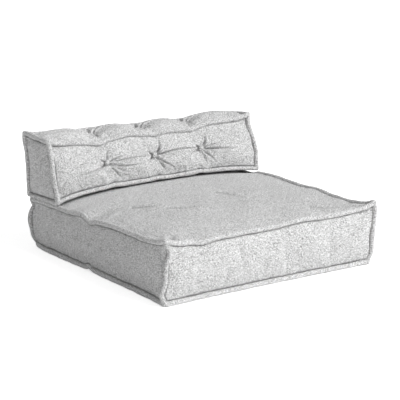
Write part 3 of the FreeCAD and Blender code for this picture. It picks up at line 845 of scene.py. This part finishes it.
def make_loop(cushion, word, line, girth):
    """One closed rolled edge round the top or the bottom of a cushion, above the floor."""
    vertices, faces = tube(line, True, ROLL_RADIUS * girth)
    vertices[:, 2] = np.maximum(vertices[:, 2], 0)
    roll = mesh_piece(f"{cushion.name}_{word}_rolled_edge", vertices, faces, roll_fabric)
    ride_padded(roll, cushion.name)
    ends = ("front", "rear", "left", "right")
    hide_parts(*[f"{cushion.name}_{word}_{end}_roll" for end in ends])


def make_upright(cushion, word, points, meets):
    """One rolled edge up a corner of a cushion, drawn to where it meets the two loops."""
    share = np.linspace(0, 1, UPRIGHT_STEPS)[:, None]
    points = points + (1 - share) ** 4 * (meets["bottom"] - points[0])
    points = points + share ** 4 * (meets["top"] - points[-1])
    vertices, faces = tube(points, False, ROLL_RADIUS)
    roll = mesh_piece(f"{cushion.name}_{word}_rolled_edge", vertices, faces, roll_fabric)
    ride_padded(roll, cushion.name)
    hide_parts(f"{cushion.name}_{word}_roll")


def make_rolls(cushion, seam_shift, lower_girth):
    """Two closed loops and four uprights of rolled edge along the seams of a cushion."""
    loops = {}
    for height, word, girth in ((-1, "bottom", lower_girth), (1, "top", 1)):
        places = loop_places(height, LOOP_STEPS)
        loops[word] = smooth_loop(cushion.flat(places) + seam_shift(places), ROLL_SMOOTHING)
        make_loop(cushion, word, loops[word], girth)
    uprights = {"front_left": (-1, -1), "front_right": (1, -1), "rear_right": (1, 1), "rear_left": (-1, 1)}
    for number, (word, corner) in enumerate(uprights.items()):
        heights = np.linspace(-1, 1, UPRIGHT_STEPS)
        places = np.column_stack([np.tile(corner, (UPRIGHT_STEPS, 1)), heights])
        meets = {level: line[number * LOOP_STEPS] for level, line in loops.items()}
        make_upright(cushion, word, cushion.flat(places) + seam_shift(places), meets)


make_seat_cover()
make_rolls(seat, seat_seam_shift, 1)


# Back cushion

# Its cloth: slack, and most swell
BACK_SLACK = 0.022
BACK_LIFT = 0.016

# Its seams: sag above, arch and droop below, draw, raised corners, lean and twist, and the lower roll's girth
BACK_FRONT_SAG = 0.015
BACK_REAR_SAG = 0.004
BACK_FRONT_ARCH = 0.029
BACK_REAR_ARCH = 0.006
BACK_END_DROOP = 0.005
BACK_DRAW = 0.006
BACK_EAR = 0.010
BACK_RAKE = 0.014
BACK_TWIST = 0.016
BACK_REAR_DROP = 0.006
BACK_SEAM_FADE = 0.04
BACK_LOWER_GIRTH = 0.85

# Its sides: how far they stand out
BACK_FRONT_BELLY = 0.016
BACK_TOP_BELLY = 0.034
BACK_END_BULGE = 0.006
BACK_REAR_BELLY = 0.008
BACK_BOTTOM_BELLY = 0.007

# Its tufts: count, drift to the right, depth and width of the pits, and the crease that joins them
TUFT_COUNT = 3
TUFT_DRIFT = -0.010
FRONT_PIT = (0.017, 0.028)
TOP_PIT = (0.036, 0.040)
CREASE_DEPTH = 0.005
CREASE_WIDTH = 0.014

# Holds of the cloth: pinned radius, and reach and depth of an anchor disc's dimple
PIN_RADIUS = 0.012
ANCHOR_REACH = 0.028
ANCHOR_SEAT = 0.0013

# Its folds: width, how much deeper than listed, and where they start, as a share of the pinned radius
FOLD_WIDTH = 0.0043
FOLD_SHARPNESS = 1.6
FOLD_START = 0.7

# Dips and rises of the two front seams beside the tufts: level, place along them, rise and half width
BACK_MARKS = [
    ("top", -0.265, -0.011, 0.060),
    ("top", -0.104, 0.010, 0.060),
    ("top", 0.015, -0.005, 0.025),
    ("top", 0.190, -0.008, 0.060),
    ("top", 0.300, 0.006, 0.060),
    ("bottom", -0.220, 0.004, 0.025),
    ("bottom", -0.010, 0.004, 0.020),
    ("bottom", 0.200, 0.005, 0.020),
    ("bottom", 0.500, 0.003, 0.050),
]

# How the uprights of the back cushion leave the straight, as for the seat
BACK_SWAYS = [
    ((-1, -1), 0.55, 0.004, 0, 0.40),
    ((-1, -1), -0.70, 0.005, 0, 0.30),
    ((1, -1), 0.65, -0.010, 0, 0.30),
    ((1, -1), -0.30, 0.006, 0, 0.40),
    ((-1, 1), 0.90, -0.008, 0, 0.30),
    ((-1, 1), 0.00, 0.003, 0, 0.50),
]

back = Cushion("back", cushion_corners("back"), BACK_GRID)


def clusters(node):
    """Middles of the equal solids of a node, one for each tuft, from left to right."""
    points = node_points(node)
    order = points[np.argsort(points[:, 0])]
    return [group.mean(axis=0) for group in np.array_split(order, TUFT_COUNT)]


TUFTS = [(place[0] + TUFT_DRIFT) / (back.sizes[0] / 2) for place in clusters("back_front_buttons")]

# Folds at each front button, from its rim, in millimetres along and up the face: bend, end and depth
FRONT_FOLDS = [
    [
        ((-60, -30), (-182, -31), 6),
        ((90, -40), (205, -14), 6),
        ((110, 14), (225, 2), 4),
        ((45, 20), (91, 26), 5),
        ((50, -40), (105, -65), 4),
        ((5, 45), (12, 92), 5),
        ((-24, 20), (-49, 35), 3),
        ((30, -45), (58, -92), 4),
    ],
    [
        ((120, 36), (236, 2), 7),
        ((45, -35), (88, -77), 5),
        ((30, -40), (40, -92), 4),
        ((36, 40), (30, 92), 5),
        ((-18, 15), (-34, 33), 4),
        ((-22, -12), (-40, -30), 4),
        ((22, 26), (30, 50), 4),
    ],
    [
        ((80, -6), (190, -18), 7),
        ((33, 35), (28, 90), 6),
        ((-14, 18), (-30, 36), 5),
        ((40, 12), (77, 17), 5),
        ((10, -35), (15, -70), 4),
        ((40, -35), (68, -80), 4),
        ((-6, -25), (-14, -54), 4),
        ((-60, -12), (-90, -20), 3),
    ],
]

# Folds at every top tuft, along the cushion and towards its rear
TOP_FOLDS = [
    ((60, 16), (118, 6), 6),
    ((-60, 12), (-118, 4), 6),
    ((8, 40), (16, 84), 6),
    ((-4, -40), (6, -88), 7),
    ((36, 30), (66, 58), 5),
    ((-34, 28), (-60, 62), 5),
    ((34, -30), (60, -60), 4),
    ((-36, -26), (-70, -50), 4),
]


def in_back_frame(shift):
    """Shifts along the back cushion's own width, depth and height as shifts in the frame."""
    return shift @ back.axes


def back_seam_shift(places):
    """Seams of the back: sagging on top, arched below, uneven beside the tufts, swaying at the corners."""
    right, rear, up = places.T
    shift = sway_shift(places, BACK_SWAYS)
    upper = (up + 1) / 2
    lower = 1 - upper
    front = (1 - rear) / 2
    arch = BACK_FRONT_ARCH * front + BACK_REAR_ARCH * (1 - front)
    sag = BACK_FRONT_SAG * front + BACK_REAR_SAG * (1 - front)
    shift[:, 2] += (1 - right ** 4) * arch * lower - (1 - right ** 2) * sag * upper
    droop = np.where(right < 0, 1, 1 - front ** 2)
    shift[:, 2] -= BACK_END_DROOP * droop * right ** 12 * lower
    shift[:, 1] += BACK_DRAW * (1 - right ** 2) * front + BACK_RAKE * upper ** 2
    for level, place, rise, width in BACK_MARKS:
        share = upper if level == "top" else lower
        shift[:, 2] += rise * hump(right * back.sizes[0] / 2 - place, width) * front ** 3 * share ** 3
    shift[:, 2] -= (BACK_TWIST * right + BACK_REAR_DROP) * (1 - front) * upper ** 2
    reach = (1 - np.abs(right)) * back.sizes[0] / 2
    shift[:, 2] += BACK_EAR * np.exp(-reach / EAR_REACH) * upper ** 4
    edge = np.exp(-back.seam_distance(places) / BACK_SEAM_FADE)
    flat = back.flat(places)
    shift[:, 2] += ripple(flat, 0.08, SEAM_WAVE, 5) * edge * upper
    shift[:, 1] += ripple(flat, 0.06, SEAM_WAVE, 6) * edge * upper
    return in_back_frame(shift)


def tufted_height(along, across, length, fullness, pit):
    """Height of a tufted face: a belly, a crease along its middle and a pit at each button."""
    depth, width = pit
    belly = fullness * (1 - np.abs(across) ** 2.4) * (1 - np.abs(along) ** 8)
    middle = across * length / 2
    height = belly - CREASE_DEPTH * hump(middle, CREASE_WIDTH) * (1 - np.abs(along) ** 6)
    for tuft in TUFTS:
        x = (along - tuft) * back.sizes[0] / 2
        height = height - (depth + fullness / 2) * np.exp(-np.hypot(x, middle) / width)
    return height


def back_belly(places):
    """Outward swell of the six sides of the back cushion between their seams."""
    right, rear, up = places.T
    shift = np.zeros(places.shape)
    front = tufted_height(right, up, back.sizes[2], BACK_FRONT_BELLY, FRONT_PIT) * on_side(places, 1, -1)
    top = tufted_height(right, rear, back.sizes[1], BACK_TOP_BELLY, TOP_PIT) * on_side(places, 2, 1)
    ends = (1 - rear ** 4) * (1 - up ** 4) * BACK_END_BULGE
    shift[:, 0] += ends * right * (on_side(places, 0, 1) + on_side(places, 0, -1))
    shift[:, 1] -= front * (1 - up ** 8)
    shift[:, 1] += back.rear_height_out(places, BACK_REAR_BELLY)
    shift[:, 2] += top * (1 - rear ** 8)
    shift[:, 2] -= BACK_BOTTOM_BELLY * (1 - rear ** 2) * (1 - right ** 8) * on_side(places, 2, -1)
    return in_back_frame(shift)


def drawn_to_anchors(points, places, node, axis, side):
    """Draw a face of the cover to the inner side of its anchor discs."""
    outward = side * back.axes[axis]
    face = on_side(places, axis, side)
    for middle in clusters(node):
        away = points - middle
        height = away @ outward
        beside = np.linalg.norm(away - height[:, None] * outward, axis=1)
        drop = face * hump(beside, ANCHOR_REACH) * (height + ANCHOR_SEAT)
        points = points - drop[:, None] * outward
    return points


def back_pins(places):
    """Cloth is held at the seams, at the buttons, at the anchors, along the zip and on the underside."""
    pinned = np.where(back.seam_distance(places) < SEAM_PIN, 1.0, 0.0)
    pinned = np.maximum(pinned, back.zip_pins(places))
    flat = back.flat(places)
    for middle in clusters("back_rear_anchors"):
        near = np.linalg.norm(flat - middle, axis=1) < 2 * PIN_RADIUS
        pinned = np.where(near, 1.0, pinned)
    right, rear, up = places.T
    for tuft in TUFTS:
        x = (right - tuft) * back.sizes[0] / 2
        front = np.hypot(x, up * back.sizes[2] / 2) + 1 - on_side(places, 1, -1)
        top = np.hypot(x, rear * back.sizes[1] / 2) + 1 - on_side(places, 2, 1)
        pinned = np.where(np.minimum(front, top) < PIN_RADIUS, 1.0, pinned)
    return np.maximum(pinned, on_side(places, 2, -1))


def tuft_folds(places):
    """Depth of all the folds that run from the buttons, in the cover's own places."""
    right, rear, up = places.T
    x = right * back.sizes[0] / 2
    faces = (
        (np.where(rear < -ON_FACE, up * back.sizes[2] / 2, ELSEWHERE), FRONT_FOLDS),
        (np.where(up > ON_FACE, rear * back.sizes[1] / 2, ELSEWHERE), [TOP_FOLDS] * TUFT_COUNT),
    )
    heights = np.zeros(len(places))
    for across, folds in faces:
        for tuft, lines in zip(TUFTS, folds):
            beside = x - tuft * back.sizes[0] / 2
            for bend, end, depth in lines:
                bend = np.array(bend) / 1000
                start = bend / np.linalg.norm(bend) * PIN_RADIUS * FOLD_START
                end = np.array(end) / 1000
                deep = FOLD_SHARPNESS * depth / 1000
                heights += crease_height(beside, across, start, bend, end, deep, FOLD_WIDTH)
    return heights


def find_pits(cover, places):
    """Points of the finished cover at the bottom of each tuft."""
    points = read_points(cover.data)
    pits = {"front": [], "top": []}
    for tuft in TUFTS:
        for face, middle in (("front", (tuft, -1, 0)), ("top", (tuft, 0, 1))):
            nearest = np.linalg.norm(places - np.array(middle), axis=1).argmin()
            pits[face].append(points[nearest])
    return pits


def make_back_cover():
    """The back's cover, made as the seat's, with its tufts; gives the pits where the buttons sit."""
    places = back.places
    points = back.flat(places) + back_seam_shift(places) + back_belly(places)
    points += back.drawn_in(places, SEAM_GROOVE_DEPTH, SEAM_GROOVE_WIDTH, SEAM_GROOVE_SPREAD)
    points = back.straight_at_zip(points, places, BACK_REAR_BELLY)
    points = drawn_to_anchors(points, places, "back_rear_anchors", 1, 1)
    points = drawn_to_anchors(points, places, "back_bottom_anchors", 2, -1)
    cover = mesh_piece("back_cover", points, back.faces, fabric)
    most = np.where(on_side(places, 1, 1) > 0, REAR_LIFT, BACK_LIFT)
    write_points(cover, swell(cover, back_pins(places), BACK_SLACK, most))
    places = divide_once(cover, places)
    heights = tuft_folds(places)
    sculpt(cover, heights)
    # Painted shade in the seams and folds of the back's cover
    shade_crevices(cover, back, places, heights)
    ride_padded(cover, "back")
    sides = ("front", "top", "bottom", "left", "right", "rear_upper", "rear_lower")
    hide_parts("back_fibre_core", *[f"back_{side}_panel" for side in sides])
    return find_pits(cover, places)


tuft_pits = make_back_cover()
make_rolls(back, back_seam_shift, BACK_LOWER_GIRTH)


# Covered buttons

# Radius, height over the pit, points round a ring, and the tip's share of the radius
BUTTON_RADIUS = 0.0120
BUTTON_STAND = 0.002
BUTTON_TURNS = 32
BUTTON_TIP = 0.02

# From the middle of the dome to its underside: share of the radius, and height in millimetres
BUTTON_PROFILE = [(0.0, 6.4), (0.3, 6.1), (0.6, 5.0), (0.85, 2.9), (1.0, 0.0), (0.95, -1.8), (0.6, -3.0)]


def make_buttons(face, outward):
    """Domed buttons wrapped in the same cloth, one in each tuft."""
    vertices = []
    faces = []
    across = np.array([1.0, 0, 0])
    upward = np.cross(outward, across)
    for pit in tuft_pits[face]:
        place = pit + BUTTON_STAND * outward
        base = len(vertices)
        for share, height in BUTTON_PROFILE:
            for turn in np.linspace(0, 2 * math.pi, BUTTON_TURNS, endpoint=False):
                ring = math.cos(turn) * across + math.sin(turn) * upward
                reach = max(share, BUTTON_TIP) * BUTTON_RADIUS
                vertices.append(place + ring * reach + outward * height / 1000)
        for level in range(len(BUTTON_PROFILE) - 1):
            low = base + level * BUTTON_TURNS
            high = low + BUTTON_TURNS
            for turn in range(BUTTON_TURNS):
                following = (turn + 1) % BUTTON_TURNS
                faces.append((low + turn, high + turn, high + following, low + following))
        faces.append(tuple(base + turn for turn in range(BUTTON_TURNS)))
    buttons = mesh_piece(f"back_{face}_covered_buttons", vertices, faces, roll_fabric)
    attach(buttons, "back")
    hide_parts(f"back_{face}_buttons")


make_buttons("front", -back.axes[1])
make_buttons("top", back.axes[2])


# Finish of the nodes that stay


def dress(nodes, material):
    """Give CAD nodes that stay in view their material."""
    for name in nodes:
        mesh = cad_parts[name].data
        mesh.materials.clear()
        mesh.materials.append(material)


dress(["back_front_ties", "back_top_ties"], thread_material())
dress(["back_rear_anchors", "back_bottom_anchors"], disc_material())
dress(["seat_zip_tape", "back_zip_tape"], tape_material())
dress(["seat_zip_coil", "back_zip_coil"], coil_material())
dress(["seat_zip_slider", "seat_zip_pull", "back_zip_slider", "back_zip_pull"], metal_material())


# Stage: a white floor, a soft key light from the front right, a low card before the seat and an even sky

FLOOR_SIZE = 60
FLOOR_TONE = 0.95
FLOOR_LIFT = 0.64
SKY_TONE = 0.40
KEY_DIRECTION = Vector((-0.44, 0.61, -0.66))
KEY_STRENGTH = 2.55
KEY_ANGLE = math.radians(34)
CARD_PLACE = Vector((0.30, -1.50, 0.05))
CARD_TARGET = Vector((0.12, -0.5, 0.14))
CARD_SIZE = (1.6, 0.2)
CARD_STRENGTH = 2.0


def make_floor():
    """White floor that keeps the shadow, lifted where the camera or a reflection sees it."""
    bpy.ops.mesh.primitive_plane_add(size=FLOOR_SIZE)
    floor = bpy.context.object
    floor.name = "floor"
    material, tree, shader = new_material("floor", grey(FLOOR_TONE), 0.9)
    path = tree.nodes.new("ShaderNodeLightPath")
    seen = add_value(tree, "ADD", path.outputs["Is Camera Ray"], path.outputs["Is Glossy Ray"])
    seen = add_value(tree, "ADD", seen, path.outputs["Is Transmission Ray"])
    lifted = add_value(tree, "MULTIPLY", seen, FLOOR_LIFT)
    shader.inputs["Emission Color"].default_value = (1, 1, 1, 1)
    tree.links.new(lifted, shader.inputs["Emission Strength"])
    floor.data.materials.append(material)


def make_sky():
    """Even light from all round."""
    world = bpy.data.worlds.new("studio")
    scene.world = world
    world.use_nodes = True
    world.node_tree.nodes["Background"].inputs["Color"].default_value = (*grey(SKY_TONE), 1)


def hang_lamp(light, direction, place=(0, 0, 0)):
    """Put a light in the scene, shining along a direction."""
    lamp = bpy.data.objects.new(light.name, light)
    lamp.location = place
    lamp.rotation_euler = direction.to_track_quat("-Z", "Y").to_euler()
    scene.collection.objects.link(lamp)


def make_lamps():
    sun = bpy.data.lights.new("key", "SUN")
    sun.energy = KEY_STRENGTH
    sun.angle = KEY_ANGLE
    hang_lamp(sun, KEY_DIRECTION)
    card = bpy.data.lights.new("front_card", "AREA")
    card.energy = CARD_STRENGTH
    card.shape = "RECTANGLE"
    card.size, card.size_y = CARD_SIZE
    hang_lamp(card, CARD_TARGET - CARD_PLACE, CARD_PLACE)


CAMERA_AZIMUTH = math.radians(-34.86)
CAMERA_ELEVATION = math.radians(14.45)
CAMERA_DISTANCE = 6.885
CAMERA_TARGET = Vector((0.0035, 0, 0.2278))
CAMERA_LENS = 154.92


def make_camera():
    """The camera fitted to the photo."""
    backward = Vector((
        math.sin(CAMERA_AZIMUTH) * math.cos(CAMERA_ELEVATION),
        -math.cos(CAMERA_AZIMUTH) * math.cos(CAMERA_ELEVATION),
        math.sin(CAMERA_ELEVATION),
    ))
    lens = bpy.data.cameras.new("camera")
    lens.lens = CAMERA_LENS
    camera = bpy.data.objects.new("camera", lens)
    camera.location = CAMERA_TARGET + backward * CAMERA_DISTANCE
    camera.rotation_euler = (-backward).to_track_quat("-Z", "Y").to_euler()
    scene.collection.objects.link(camera)
    scene.camera = camera


make_floor()
make_sky()
make_lamps()
make_camera()
scene.view_settings.view_transform = "Standard"
